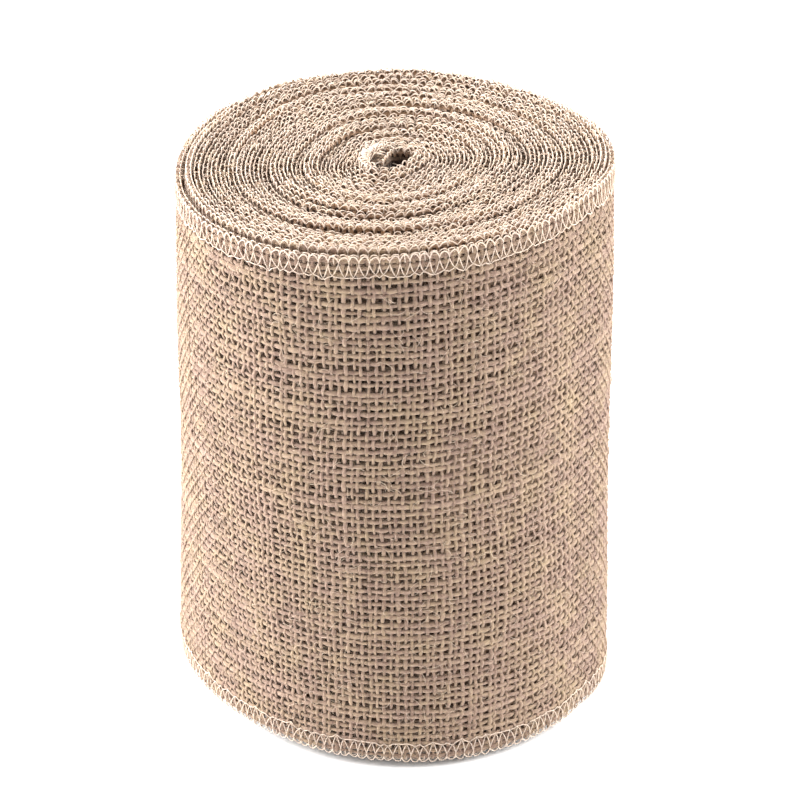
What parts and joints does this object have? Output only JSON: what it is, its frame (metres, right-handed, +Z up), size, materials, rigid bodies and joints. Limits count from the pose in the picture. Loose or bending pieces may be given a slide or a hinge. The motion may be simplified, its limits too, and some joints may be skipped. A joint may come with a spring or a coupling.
{
  "type": "burlap ribbon roll",
  "caption": "Coreless roll of wide burlap ribbon standing on end, both edges overlocked, with a small open eye and a loose tail that peels off.",
  "frame": {"origin": "centre of the roll's outline on the surface it stands on", "axes": "+Z up along the roll's axis; the eye's long axis lies 60 degrees from +X towards +Y; the loose tail runs clockwise from the -Y side to its free end at the back left"},
  "size_m": [0.1154, 0.116, 0.1524],
  "materials": {
    "burlap": "coarse open plain weave",
    "overlock thread": "matte spun thread"
  },
  "bodies": {
    "core_coils": {"core_burlap": "burlap", "core_top_loopers": "overlock thread", "core_bottom_loopers": "overlock thread", "core_top_needle_thread": "overlock thread", "core_bottom_needle_thread": "overlock thread"},
    "inner_coils": {"inner_burlap": "burlap", "inner_top_loopers": "overlock thread", "inner_bottom_loopers": "overlock thread", "inner_top_needle_thread": "overlock thread", "inner_bottom_needle_thread": "overlock thread"},
    "middle_coils": {"middle_burlap": "burlap", "middle_top_loopers": "overlock thread", "middle_bottom_loopers": "overlock thread", "middle_top_needle_thread": "overlock thread", "middle_bottom_needle_thread": "overlock thread"},
    "outer_coils": {"outer_burlap": "burlap", "outer_top_loopers": "overlock thread", "outer_bottom_loopers": "overlock thread", "outer_top_needle_thread": "overlock thread", "outer_bottom_needle_thread": "overlock thread"},
    "tail_1": {"tail_1_burlap": "burlap", "tail_1_top_loopers": "overlock thread", "tail_1_bottom_loopers": "overlock thread", "tail_1_top_needle_thread": "overlock thread", "tail_1_bottom_needle_thread": "overlock thread"},
    "tail_2": {"tail_2_burlap": "burlap", "tail_2_top_loopers": "overlock thread", "tail_2_bottom_loopers": "overlock thread", "tail_2_top_needle_thread": "overlock thread", "tail_2_bottom_needle_thread": "overlock thread"},
    "tail_3": {"tail_3_burlap": "burlap", "tail_3_top_loopers": "overlock thread", "tail_3_bottom_loopers": "overlock thread", "tail_3_top_needle_thread": "overlock thread", "tail_3_bottom_needle_thread": "overlock thread"},
    "tail_4": {"tail_4_burlap": "burlap", "tail_4_top_loopers": "overlock thread", "tail_4_bottom_loopers": "overlock thread", "tail_4_top_needle_thread": "overlock thread", "tail_4_bottom_needle_thread": "overlock thread"}
  },
  "joints": [
    {"name": "middle_pushes_up", "type": "slide", "parent": "outer_coils", "child": "middle_coils", "axis": [0, 0, 1], "range_m": [0, 0.012]},
    {"name": "inner_pushes_up", "type": "slide", "parent": "middle_coils", "child": "inner_coils", "axis": [0, 0, 1], "range_m": [0, 0.012]},
    {"name": "core_pushes_up", "type": "slide", "parent": "inner_coils", "child": "core_coils", "axis": [0, 0, 1], "range_m": [0, 0.012]},
    {"name": "tail_1_peels", "type": "hinge", "parent": "outer_coils", "child": "tail_1", "pos_m": [-0.00633, -0.05779, 0.0762], "axis": [0, 0, 1], "range_deg": [0, 40]},
    {"name": "tail_2_peels", "type": "hinge", "parent": "tail_1", "child": "tail_2", "pos_m": [-0.03469, -0.04711, 0.0762], "axis": [0, 0, 1], "range_deg": [0, 40]},
    {"name": "tail_3_peels", "type": "hinge", "parent": "tail_2", "child": "tail_3", "pos_m": [-0.05339, -0.02328, 0.0762], "axis": [0, 0, 1], "range_deg": [0, 40]},
    {"name": "tail_4_peels", "type": "hinge", "parent": "tail_3", "child": "tail_4", "pos_m": [-0.05702, 0.00681, 0.0762], "axis": [0, 0, 1], "range_deg": [0, 40]}
  ]
}
